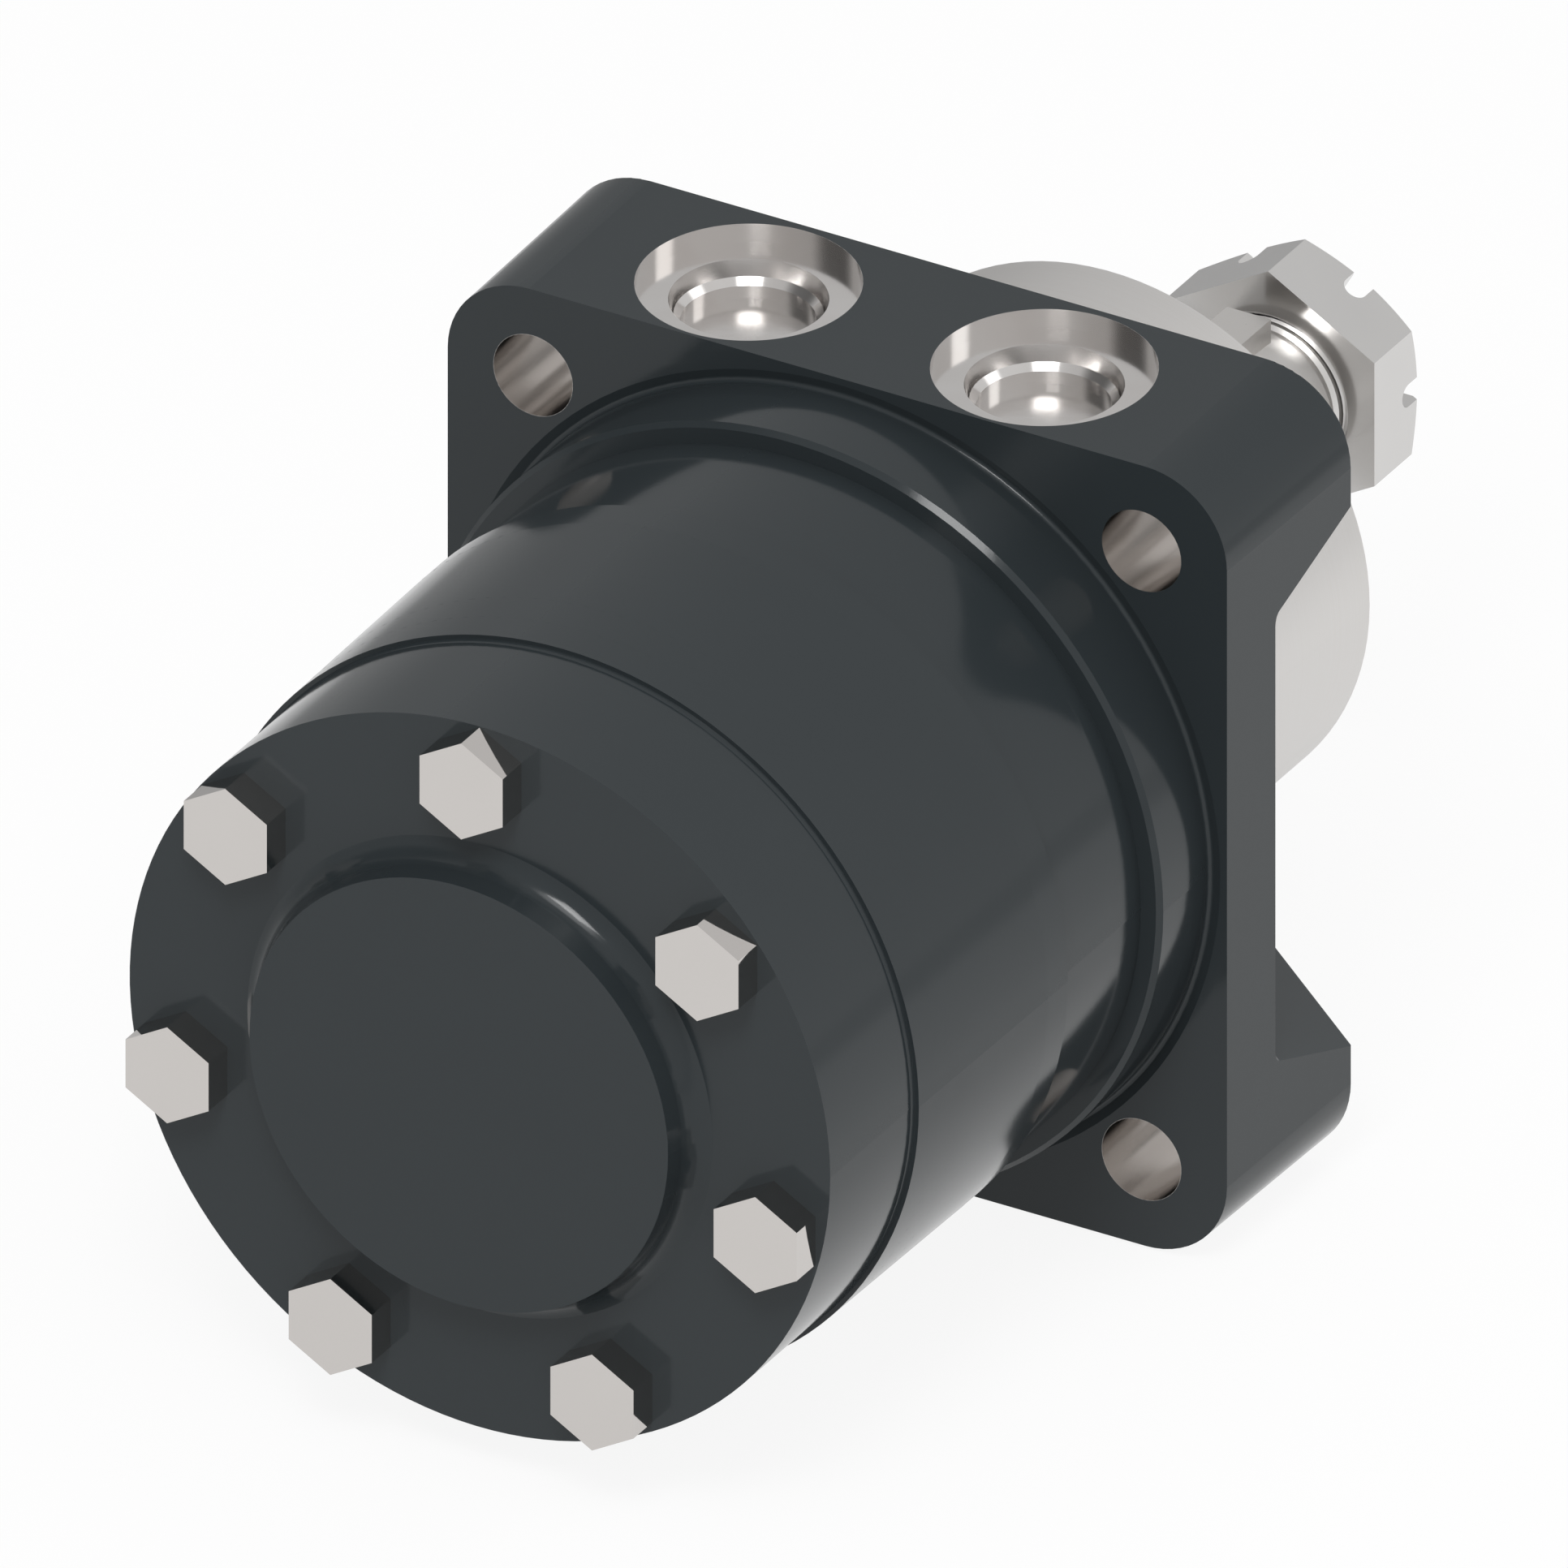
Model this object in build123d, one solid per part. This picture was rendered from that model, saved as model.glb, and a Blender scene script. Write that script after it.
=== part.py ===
from build123d import *

import math
import os

# Orbital hydraulic motor for a wheel mount, modelled in millimetres.
# The motor axis is Y. The origin is on that axis in the mounting face of the flange.
# +Y points to the output shaft, +X runs across the flange, and the ports face +Z.

# Flange and pilot
flange_half = 66.85
flange_thickness = 36.1
flange_draft = 0.85
flange_corner_step = 0.65
flange_edge = 0.25
bolt_hole_spacing = 104.4
bolt_hole_radius = 6.8
pilot_radius = 63.5
pilot_length = 13.1
pilot_chamfer = 0.8
pilot_groove_width = 2.2
pilot_groove_depth = 0.66
pilot_foot_fillet = 0.62

# Side pockets of the flange
pocket_floor = 14.05
pocket_offset = 28.9
pocket_wall_angle = 14.2
pocket_reach = 30.0
pocket_fillet = 1.6

# Barrel and neck of the housing
barrel_radius = 44.4
barrel_end = 81.3
neck_radius = 60.1
neck_length = 38.0

# Ports, from the top face down
port_spacing = 50.74
port_setback = 17.6
port_face = 64.25
spotface_radius = 17.0
seal_cone_radius = 12.0
seal_cone_depth = 2.55
port_throat_radius = 11.2
port_chamfer_depth = 1.05
port_bore_radius = 10.15
port_bore_depth = 5.65
port_drill_radius = 3.6
port_drill_offset = 6.4
gallery_radius = 3.2
gallery_height = 43.0

# Plate stack between the neck and the end cover
stack_radius = 61.5
stack_end_radius = 61.05
wear_plate_thickness = 6.0
stator_thickness = 25.0
manifold_thickness = 6.5
port_plate_thickness = 6.0
wear_plate_hole = 14.0
manifold_hole = 13.0

# End cover
cover_radius = 60.1
cover_foot_radius = 60.35
cover_foot_height = 0.8
cover_thickness = 24.7
cover_boss_radius = 35.9
cover_boss_height = 6.3
cover_boss_base = 39.9
cover_boss_wall = 36.5
cover_boss_wall_height = 3.2
cover_boss_curve_radius = 37.5
cover_boss_curve_height = 1.3
commutator_cavity_radius = 38.0
commutator_cavity_depth = 12.5
centre_pocket_radius = 15.0
centre_pocket_depth = 4.0

# Cover bolts
bolt_count = 7
bolt_circle = 51.75
bolt_radius = 4.76
bolt_hole_clearance = 0.24
bolt_thread_clearance = 0.04
bolt_head_across = 14.25
bolt_head_height = 5.6
bolt_reach = 18.0
bolt_hole_bottom = 3.0

# Roller gear set
eccentricity = 3.0
roller_radius = 7.0
roller_circle = 37.0
lobe_count = 6
stator_bore = 36.35
running_clearance = 0.05
points_per_lobe = 14
roller_chamfer = 0.3

# Drive link and its splines
link_pivot = -2.0
spline_teeth = 12
spline_root = 10.5
spline_tip = 13.0
spline_rib = 2.9
spline_tooth = 2.2
spline_gap = 1.2
spline_face = 14.0
spline_overrun = 1.0
link_neck_radius = 8.5
link_tail_radius = 6.5
link_shoulder = 2.0
link_ball_radius = 8.0
link_ball_clearance = 0.1

# Commutator
commutator_land_radius = 26.0
commutator_land_width = 5.4
commutator_hub_radius = 12.5
commutator_web = 4.0
window_count = 6
window_radius = 3.6
window_circle = 17.6
seal_ring_width = 2.6
seal_ring_depth = 2.0
port_hole_radius = 2.2
chamber_hole_circle = 33.8
channel_width = 2.2
channel_steps = 10
channel_turn = 90.0

# Output shaft
shaft_rear = -33.0
shaft_drum_radius = 30.0
shaft_drum_end = 30.0
journal_radius = 22.0
journal_end = 61.5
journal_step = 1.0
seal_journal_radius = 19.05
taper_start = 81.7
taper_large = 15.875
taper_end = 124.5
taper_ratio = 8.0
relief_radius = 11.8
relief_length = 2.6
relief_slope = 0.8
thread_radius = 12.65
shaft_end = 143.0
shaft_chamfer = 1.2
socket_radius = 17.0
socket_runout = 3.0
centre_hole_radius = 2.4
centre_hole_depth = 7.0
pin_hole_radius = 1.7

# Key and slotted nut
key_width = 7.55
key_length = 25.4
key_end = 122.3
key_top = 16.8
nut_across = 36.5
nut_start = 128.0
nut_corner_length = 11.05
nut_length = 13.2
nut_chamfer_angle = 30.0
nut_bore_clearance = 0.05
nut_mouth_radius = 13.75
nut_slot_width = 3.8
nut_slot_depth = 4.9

# Bearings
rear_race_start = -33.0
rear_race_end = -14.0
rear_race_radius = 38.0
front_race_start = 43.0
front_race_end = 60.0
front_race_radius = 30.0
needle_radius = 2.0
rear_needle_count = 24
front_needle_count = 18
needle_end_gap = 1.5
cage_wall = 1.6
cage_end_gap = 0.5
thrust_washer_thickness = 1.5
thrust_needle_radius = 1.0
thrust_needle_count = 24
thrust_inner = 22.8
thrust_outer = 33.0
thrust_needle_end_gap = 1.5
thrust_cage_gap = 0.4

# Bores of the housing and the seals at the shaft
cavity_radius = 34.0
seal_bore_radius = 28.0
seal_bore_start = 63.0
web_bore_radius = 24.5
backup_washer_thickness = 2.0
backup_washer_gap = 0.5
shaft_seal_length = 8.0
shaft_lip_edge = 4.7
shaft_lip_heel = 5.7
shaft_lip_thickness = 0.9
snap_ring_thickness = 1.5
snap_ring_depth = 1.4
snap_ring_width = 3.2
snap_ring_opening = 6.0
wiper_seal_length = 5.4
wiper_recess = 0.6
wiper_valley = 1.2
wiper_lip_face = 0.8
wiper_lip_width = 2.0
wiper_valley_width = 2.0
seal_lip_gap = 0.05
seal_section = 1.9

# Flat seals between the plates
body_seal_inner = 57.5
body_seal_outer = 59.3
body_seal_depth = 1.3

# How far a cut passes the face that it opens
cut = 1.0

# Places worked out from the sizes above
flange_corner = flange_half - bolt_hole_spacing / 2 - flange_corner_step
neck_rear = -neck_length
stator_front = neck_rear - wear_plate_thickness
stator_rear = stator_front - stator_thickness
port_plate_front = stator_rear - manifold_thickness
stack_rear = port_plate_front - port_plate_thickness
cavity_floor = stack_rear - commutator_cavity_depth
cover_face = stack_rear - cover_thickness
rotor_middle = (stator_front + stator_rear) / 2
commutator_middle = (stack_rear + cavity_floor) / 2
rotor_distance = link_pivot - rotor_middle
link_tilt = math.degrees(math.atan2(eccentricity, rotor_distance))
nose_distance = link_pivot - commutator_middle
commutator_offset = eccentricity * nose_distance / rotor_distance
thrust_seat = shaft_drum_end + 2 * thrust_washer_thickness + 2 * (thrust_needle_radius + running_clearance)
bolt_spacing_angle = 360 / bolt_count
taper_small = taper_large - (taper_end - taper_start) / (2 * taper_ratio)
stack_slope = (stack_radius - stack_end_radius) / (stator_front - stack_rear)


def turned(*points):
    """Body of revolution about the motor axis, from points of radius and height."""
    outline = make_face(Polyline(*points, close=True))
    return revolve(outline, Axis.Y)


def tube(start, end, outer, inner):
    """Plain ring between two heights on the motor axis."""
    return turned((inner, start), (outer, start), (outer, end), (inner, end))


def disc(start, end, radius):
    """Plain round bar between two heights on the motor axis."""
    return turned((0, start), (radius, start), (radius, end), (0, end))


def polar(radius, angle):
    """Point at a radius and an angle in the cross section, as X and Z."""
    return radius * math.cos(math.radians(angle)), radius * math.sin(math.radians(angle))


def rod(start, end, radius, x=0.0, z=0.0):
    """Round bar parallel to the motor axis."""
    return Pos(x, 0, z) * disc(start, end, radius)


def rods(start, end, radius, circle, count, first=90.0):
    """Ring of equal round bars about the motor axis."""
    places = [polar(circle, first + k * 360 / count) for k in range(count)]
    return [rod(start, end, radius, x, z) for x, z in places]


def bar(start, end, inner, outer, width, angle):
    """Rectangular bar along the axis that reaches out from one radius to another."""
    block = Box(outer - inner, end - start, width)
    block = Pos((inner + outer) / 2, (start + end) / 2, 0) * block
    return Rot(0, -angle, 0) * block


def stack_outer(height):
    """Outer radius of the plate stack at a height, with its slight draft."""
    return stack_radius - stack_slope * max(0.0, stator_front - height)


def bolt_holes(start, end, radius):
    """Ring of holes for the cover bolts."""
    return rods(start, end, radius, bolt_circle, bolt_count)


def gallery(start, end):
    """Oil hole that runs back from the second port, beside the gear set."""
    return rod(start, end, gallery_radius, port_spacing / 2, gallery_height)


def spline_cutter(start, end, tooth_start, tooth_end):
    """Bore with inward teeth, to be cut from a body on the motor axis."""
    root = spline_tip + spline_gap
    cutter = disc(start, end, root)
    tip = spline_root + spline_gap
    for k in range(spline_teeth):
        angle = (k + 0.5) * 360 / spline_teeth
        cutter -= bar(tooth_start, tooth_end, tip, root + cut, spline_tooth, angle)
    return cutter


def flange_block():
    """Square flange with a slight draft, four bolt holes and a soft edge on the shaft side."""
    outline = Plane.XZ * RectangleRounded(2 * flange_half, 2 * flange_half, flange_corner)
    block = extrude(outline, amount=-flange_thickness, taper=-flange_draft)
    block = fillet(block.edges().group_by(Axis.Y)[-1], flange_edge)
    half = bolt_hole_spacing / 2
    for x in (-half, half):
        for z in (-half, half):
            block -= rod(-cut, flange_thickness + cut, bolt_hole_radius, x, z)
    return block


def side_pocket(side):
    """Wedge-shaped relief cut into one side of the flange, around the barrel."""
    reach = pocket_reach + flange_half
    spread = reach - pocket_offset
    corners = [(pocket_offset, 0), (reach, spread), (reach, -spread)]
    floor = Plane.XZ.offset(-pocket_floor) * make_face(Polyline(*corners, close=True))
    height = flange_thickness - pocket_floor + cut
    wedge = extrude(floor, amount=-height, taper=-pocket_wall_angle)
    wedge -= disc(0, 2 * flange_thickness, barrel_radius)
    wedge = fillet(wedge.faces().sort_by(Axis.Y)[0].edges(), pocket_fillet)
    return wedge if side > 0 else Rot(0, 180, 0) * wedge


def pilot_groove():
    """Relief round the foot of the pilot, which slopes out to the flange face."""
    outer = pilot_radius + pilot_groove_width
    return turned(
        (pilot_radius, -cut),
        (pilot_radius, pilot_groove_depth),
        (outer, 0),
        (outer, -cut),
    )


def soft_pilot_foot(body):
    """Rounds the corner between the pilot and its relief."""
    level = body.edges().filter_by(GeomType.CIRCLE).filter_by_position(
        Axis.Y, pilot_groove_depth - cut, pilot_groove_depth + cut
    )
    return fillet(level.sort_by(lambda ring: abs(ring.radius - pilot_radius))[0], pilot_foot_fillet)


def port_cutter(x):
    """Straight-thread port: spotface, seal cone, chamfer and flat-ended bore."""
    cone_end = port_face - seal_cone_depth
    bore_start = cone_end - port_chamfer_depth
    bore_end = port_face - port_bore_depth
    top = 2 * flange_half
    outline = [
        (0, top),
        (spotface_radius, top),
        (spotface_radius, port_face),
        (seal_cone_radius, port_face),
        (port_throat_radius, cone_end),
        (port_bore_radius, bore_start),
        (port_bore_radius, bore_end),
        (0, bore_end),
    ]
    face = Plane.XZ * make_face(Polyline(*outline, close=True))
    return Pos(x, port_setback, 0) * revolve(face, Axis.Z)


def port_drill(x, depth):
    """Vertical drilling that goes on down from a port, behind its middle."""
    start = port_face - port_bore_depth
    drill = Cylinder(port_drill_radius, start - depth, align=(Align.CENTER, Align.CENTER, Align.MIN))
    return Pos(x, port_setback - port_drill_offset, depth) * drill


def housing_bores():
    """Stepped bore of the housing, from the plate stack to the front seals."""
    groove_start = seal_bore_start + backup_washer_thickness + shaft_seal_length
    groove_end = groove_start + snap_ring_thickness
    groove = seal_bore_radius + snap_ring_depth
    return turned(
        (0, neck_rear - cut),
        (rear_race_radius, neck_rear - cut),
        (rear_race_radius, rear_race_end),
        (cavity_radius, rear_race_end),
        (cavity_radius, thrust_seat),
        (front_race_radius, thrust_seat),
        (front_race_radius, front_race_end),
        (web_bore_radius, front_race_end),
        (web_bore_radius, seal_bore_start),
        (seal_bore_radius, seal_bore_start),
        (seal_bore_radius, groove_start),
        (groove, groove_start),
        (groove, groove_end),
        (seal_bore_radius, groove_end),
        (seal_bore_radius, barrel_end + cut),
        (0, barrel_end + cut),
    )


def housing():
    """Cast housing: flange, pilot, neck and barrel, with ports and bores."""
    body = flange_block()
    for side in (-1, 1):
        body -= side_pocket(side)
    pilot_face = -(pilot_length + pilot_chamfer)
    body += turned(
        (0, neck_rear),
        (neck_radius, neck_rear),
        (neck_radius, pilot_face),
        (pilot_radius - pilot_chamfer, pilot_face),
        (pilot_radius, -pilot_length),
        (pilot_radius, pilot_groove_depth),
        (barrel_radius, pilot_groove_depth),
        (barrel_radius, barrel_end),
        (0, barrel_end),
    )
    body -= pilot_groove()
    body = soft_pilot_foot(body)
    body -= housing_bores()
    for x in (-port_spacing / 2, port_spacing / 2):
        body -= port_cutter(x)
    body -= port_drill(-port_spacing / 2, 0)
    body -= port_drill(port_spacing / 2, gallery_height)
    body -= gallery(neck_rear - cut, port_setback - port_drill_offset)
    blind = neck_rear + bolt_reach + bolt_hole_bottom
    for hole in bolt_holes(neck_rear - cut, blind, bolt_radius + bolt_thread_clearance):
        body -= hole
    return body


def body_seal(face, toward):
    """Flat seal ring that fills its groove, from a plate face into that plate."""
    start, end = sorted((face, face + toward * body_seal_depth))
    return tube(start, end, body_seal_outer, body_seal_inner)


def plate(front, rear, hole):
    """Round plate of the stack, with the bolt holes and the oil gallery."""
    outline = [(hole, rear), (stack_outer(rear), rear), (stack_outer(front), front), (hole, front)]
    body = turned(*outline)
    for hole_cut in bolt_holes(rear - cut, front + cut, bolt_radius + bolt_hole_clearance):
        body -= hole_cut
    return body - gallery(rear - cut, front + cut)


def wear_plate():
    """Hardened plate that the rotor runs against, with seal grooves in both faces."""
    body = plate(neck_rear, stator_front, wear_plate_hole)
    return body - body_seal(neck_rear, -1) - body_seal(stator_front, 1)


def roller_angles():
    """Angles of the rollers, which stand between the bolts."""
    return [90 + (k + 0.5) * bolt_spacing_angle for k in range(bolt_count)]


def stator_ring():
    """Ring of the gear set, with a pocket for each roller."""
    body = plate(stator_front, stator_rear, stator_bore)
    for angle in roller_angles():
        x, z = polar(roller_circle, angle)
        body -= rod(stator_rear - cut, stator_front + cut, roller_radius + running_clearance, x, z)
    return body


def roller(angle):
    """Loose roller of the gear set, in its pocket."""
    x, z = polar(roller_circle, angle)
    body = rod(stator_rear + running_clearance, stator_front - running_clearance, roller_radius, x, z)
    return chamfer(body.edges(), roller_chamfer)


def rotor_outline():
    """Points of the lobed profile: the path of a roller centre, offset inwards."""
    inset = roller_radius + running_clearance
    pitch = lobe_count + 1
    count = lobe_count * points_per_lobe
    points = []
    for k in range(count):
        w = 2 * math.pi * k / count
        x = roller_circle * math.cos(w) - eccentricity * math.cos(pitch * w)
        z = roller_circle * math.sin(w) - eccentricity * math.sin(pitch * w)
        dx = -roller_circle * math.sin(w) + eccentricity * pitch * math.sin(pitch * w)
        dz = roller_circle * math.cos(w) - eccentricity * pitch * math.cos(pitch * w)
        length = math.hypot(dx, dz)
        points.append((x - inset * dz / length, z + inset * dx / length))
    return points


def rotor():
    """Six-lobed rotor with an internal spline, off the motor axis by the eccentricity."""
    start = stator_rear + running_clearance
    length = stator_thickness - 2 * running_clearance
    profile = Plane.XZ.offset(-start) * make_face(Spline(*rotor_outline(), periodic=True))
    body = extrude(profile, amount=-length)
    reach = spline_face / 2 + spline_overrun
    body -= spline_cutter(stator_rear, stator_front, rotor_middle - reach, rotor_middle + reach)
    return Pos(0, 0, eccentricity) * body


def channel_edge(angle, side):
    """Points along one edge of a spiral channel."""
    points = []
    for k in range(channel_steps + 1):
        share = k / channel_steps
        radius = chamber_hole_circle + (commutator_land_radius - chamber_hole_circle) * share
        points.append(polar(radius + side * channel_width / 2, angle + channel_turn * share))
    return points


def channel(angle):
    """Spiral oil channel from a chamber hole inwards to its timing hole."""
    outline = channel_edge(angle, 1) + channel_edge(angle, -1)[::-1]
    face = Plane.XZ.offset(-port_plate_front) * make_face(Polyline(*outline, close=True))
    return extrude(face, amount=-channel_width)


def manifold_plate():
    """Plate behind the gear set: a hole from each chamber, led round in a channel."""
    body = plate(stator_rear, port_plate_front, manifold_hole)
    start, end = port_plate_front - cut, stator_rear + cut
    for hole in rods(start, end, port_hole_radius, chamber_hole_circle, bolt_count):
        body -= hole
    for k in range(bolt_count):
        body -= channel(90 + k * bolt_spacing_angle)
    return body - body_seal(stator_rear, -1)


def port_plate():
    """Plate that the commutator slides on, with the timing holes and a seal groove."""
    body = plate(port_plate_front, stack_rear, manifold_hole)
    circle, first = commutator_land_radius, 90 + channel_turn
    start, end = stack_rear - cut, port_plate_front + cut
    for hole in rods(start, end, port_hole_radius, circle, bolt_count, first):
        body -= hole
    return body - body_seal(port_plate_front, -1) - body_seal(stack_rear, 1)


def end_cover():
    """Turned and cast end cover, with its raised boss and the commutator cavity."""
    boss_face = cover_face - cover_boss_height
    foot = stack_rear - cover_foot_height
    wall_end = (cover_boss_wall, cover_face - cover_boss_wall_height)
    base = (cover_boss_base, cover_face)
    middle = (cover_boss_curve_radius, cover_face - cover_boss_curve_height)
    edges = [
        Line((0, boss_face), (cover_boss_radius, boss_face)),
        Line((cover_boss_radius, boss_face), wall_end),
        ThreePointArc(wall_end, middle, base),
        Line(base, (cover_radius, cover_face)),
        Line((cover_radius, cover_face), (cover_radius, foot)),
        Line((cover_radius, foot), (cover_foot_radius, stack_rear)),
        Line((cover_foot_radius, stack_rear), (0, stack_rear)),
        Line((0, stack_rear), (0, boss_face)),
    ]
    body = revolve(make_face(Wire(edges)), Axis.Y)
    body -= disc(cavity_floor, stack_rear + cut, commutator_cavity_radius)
    body -= disc(cavity_floor - centre_pocket_depth, cavity_floor + cut, centre_pocket_radius)
    for hole in bolt_holes(cover_face - cut, stack_rear + cut, bolt_radius + bolt_hole_clearance):
        body -= hole
    x, z = port_spacing / 2, gallery_height
    angle = math.degrees(math.atan2(z, x))
    depth = 2 * gallery_radius
    inner = commutator_cavity_radius - depth / 2
    body -= bar(stack_rear - depth, stack_rear + cut, inner, math.hypot(x, z), depth, angle)
    return body - rod(stack_rear - depth, stack_rear + cut, gallery_radius, x, z)


def cover_bolts():
    """Seven hexagon bolts through the stack into the neck, as separate solids."""
    head_face = cover_face - bolt_head_height
    hexagon = RegularPolygon(bolt_head_across / 2, 6, major_radius=False, rotation=30)
    head = extrude(Plane.XZ.offset(-cover_face) * hexagon, amount=cover_face - head_face)
    bolt = head + disc(cover_face, neck_rear + bolt_reach, bolt_radius)
    places = [polar(bolt_circle, 90 + k * bolt_spacing_angle) for k in range(bolt_count)]
    return [Pos(x, 0, z) * bolt for x, z in places]


def commutator():
    """Orbiting valve ring: a flat land on a webbed wheel, driven by the link's ball."""
    front = stack_rear - running_clearance
    rear = cavity_floor + running_clearance
    inner = commutator_land_radius - commutator_land_width / 2
    outer = commutator_land_radius + commutator_land_width / 2
    web_front = (front + rear + commutator_web) / 2
    web_rear = web_front - commutator_web
    bore = link_ball_radius + link_ball_clearance
    body = turned(
        (bore, rear),
        (commutator_hub_radius, rear),
        (commutator_hub_radius, web_rear),
        (inner, web_rear),
        (inner, rear),
        (outer, rear),
        (outer, front),
        (inner, front),
        (inner, web_front),
        (commutator_hub_radius, web_front),
        (commutator_hub_radius, front),
        (bore, front),
    )
    for window in rods(rear, front, window_radius, window_circle, window_count):
        body -= window
    body -= commutator_seal_ring(seal_ring_depth)
    return Pos(0, 0, commutator_offset) * body


def commutator_seal_ring(depth):
    """Ring in the rear face of the commutator, before it is set off the axis."""
    rear = cavity_floor + running_clearance
    half = seal_ring_width / 2
    return tube(rear, rear + depth, commutator_land_radius + half, commutator_land_radius - half)


def commutator_seal():
    """Seal ring carried by the commutator against the cover."""
    return Pos(0, 0, commutator_offset) * commutator_seal_ring(seal_ring_depth)


def drive_link():
    """Dog-bone link: two splined heads and a ball nose, tilted to follow the rotor."""
    rear_head = -rotor_distance / math.cos(math.radians(link_tilt))
    ball = -nose_distance / math.cos(math.radians(link_tilt))
    half = spline_face / 2
    body = turned(
        (0, half),
        (spline_root, half),
        (spline_root, -half),
        (link_neck_radius, -half - link_shoulder),
        (link_neck_radius, rear_head + half + link_shoulder),
        (spline_root, rear_head + half),
        (spline_root, rear_head - half),
        (link_tail_radius, rear_head - half - link_shoulder),
        (link_tail_radius, ball),
        (0, ball),
    )
    for middle in (0, rear_head):
        for k in range(spline_teeth):
            angle = k * 360 / spline_teeth
            body += bar(middle - half, middle + half, spline_root - cut, spline_tip, spline_rib, angle)
    body += Pos(0, ball, 0) * Sphere(link_ball_radius)
    return Pos(0, link_pivot, 0) * Rot(-link_tilt, 0, 0) * body


def output_shaft():
    """Output shaft: splined drum, journals, keyed taper, relief and thread."""
    relief_end = taper_end + relief_length
    body = turned(
        (0, shaft_rear),
        (shaft_drum_radius, shaft_rear),
        (shaft_drum_radius, shaft_drum_end),
        (journal_radius, shaft_drum_end),
        (journal_radius, journal_end),
        (seal_journal_radius, journal_end + journal_step),
        (seal_journal_radius, taper_start),
        (taper_large, taper_start),
        (taper_small, taper_end),
        (relief_radius, taper_end + relief_slope),
        (relief_radius, relief_end),
        (thread_radius, relief_end + relief_slope),
        (thread_radius, shaft_end - shaft_chamfer),
        (thread_radius - shaft_chamfer, shaft_end),
        (0, shaft_end),
    )
    spline_end = link_pivot + spline_face / 2 + spline_overrun
    spline_start = link_pivot - spline_face / 2 - spline_overrun
    body -= spline_cutter(spline_start - cut, spline_end + socket_runout, spline_start, spline_end)
    body -= disc(shaft_rear - cut, spline_start, socket_radius)
    body -= disc(shaft_end - centre_hole_depth, shaft_end + cut, centre_hole_radius)
    pin_height = nut_start + nut_length - nut_slot_depth / 2
    body -= Pos(0, pin_height, 0) * Rot(0, 90, 0) * Cylinder(pin_hole_radius, 2 * (thread_radius + cut))
    return body - shaft_key()


def shaft_key():
    """Square key, proud of the top of the taper."""
    block = Box(key_width, key_length, key_width)
    return Pos(0, key_end - key_length / 2, key_top - key_width / 2) * block


def slotted_nut():
    """Hexagon nut with a chamfered far end and a rounded slot in each flat."""
    end = nut_start + nut_length
    corner = nut_across / math.sqrt(3)
    chamfer_start = nut_start + nut_corner_length
    end_radius = corner - (end - chamfer_start) / math.tan(math.radians(nut_chamfer_angle))
    hexagon = RegularPolygon(nut_across / 2, 6, major_radius=False, rotation=30)
    body = extrude(Plane.XZ.offset(-nut_start) * hexagon, amount=-nut_length)
    body &= turned((0, nut_start), (corner, nut_start), (corner, chamfer_start), (end_radius, end), (0, end))
    bore = thread_radius + nut_bore_clearance
    lead = nut_mouth_radius - bore
    body -= turned(
        (0, nut_start),
        (nut_mouth_radius, nut_start),
        (bore, nut_start + lead),
        (bore, end - lead),
        (nut_mouth_radius, end),
        (0, end),
    )
    round_centre = end - nut_slot_depth + nut_slot_width / 2
    for k in range(6):
        slot = bar(round_centre, end + cut, bore - cut, corner, nut_slot_width, 60 * k)
        cap = Rot(0, 90, 0) * Cylinder(nut_slot_width / 2, corner - bore + cut)
        cap = Pos((bore - cut + corner) / 2, round_centre, 0) * cap
        body -= slot + Rot(0, -60 * k, 0) * cap
    return body


def needle_race(start, end, outer):
    """Outer race of a needle bearing."""
    return tube(start, end, outer, outer - 2 * needle_radius)


def needle_cage(start, end, shaft, count):
    """Cage of a needle bearing, with a pocket for each needle."""
    middle = shaft + needle_radius
    body = tube(start + cage_end_gap, end - cage_end_gap, middle + cage_wall / 2, middle - cage_wall / 2)
    pocket_start, pocket_end = start + needle_end_gap, end - needle_end_gap
    for pocket in rods(pocket_start, pocket_end, needle_radius, middle, count):
        body -= pocket
    return body


def needles(start, end, shaft, count):
    """Needles of a bearing, as separate solids."""
    length_start, length_end = start + needle_end_gap, end - needle_end_gap
    return rods(length_start, length_end, needle_radius - running_clearance, shaft + needle_radius, count)


def thrust_washer(start):
    """Flat hardened washer of the thrust bearing."""
    return tube(start, start + thrust_washer_thickness, thrust_outer, thrust_inner)


def thrust_needles(clearance=0.0):
    """Radial needles of the thrust bearing as separate solids, or their pockets with a clearance."""
    height = thrust_seat - thrust_washer_thickness - thrust_needle_radius - running_clearance
    length = thrust_outer - thrust_inner - 2 * (thrust_needle_end_gap - clearance)
    needle = Rot(0, 90, 0) * Cylinder(thrust_needle_radius + clearance, length)
    needle = Pos((thrust_outer + thrust_inner) / 2, height, 0) * needle
    return [Rot(0, k * 360 / thrust_needle_count, 0) * needle for k in range(thrust_needle_count)]


def thrust_cage():
    """Thin cage that spaces the radial needles."""
    height = thrust_seat - thrust_washer_thickness - thrust_needle_radius - running_clearance
    half = thrust_needle_radius / 2
    body = tube(height - half, height + half, thrust_outer - thrust_cage_gap, thrust_inner + thrust_cage_gap)
    for pocket in thrust_needles(running_clearance):
        body -= pocket
    return body


def backup_washer():
    """Steel washer behind the shaft seal."""
    end = seal_bore_start + backup_washer_thickness
    return tube(seal_bore_start, end, seal_bore_radius, seal_journal_radius + backup_washer_gap)


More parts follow.
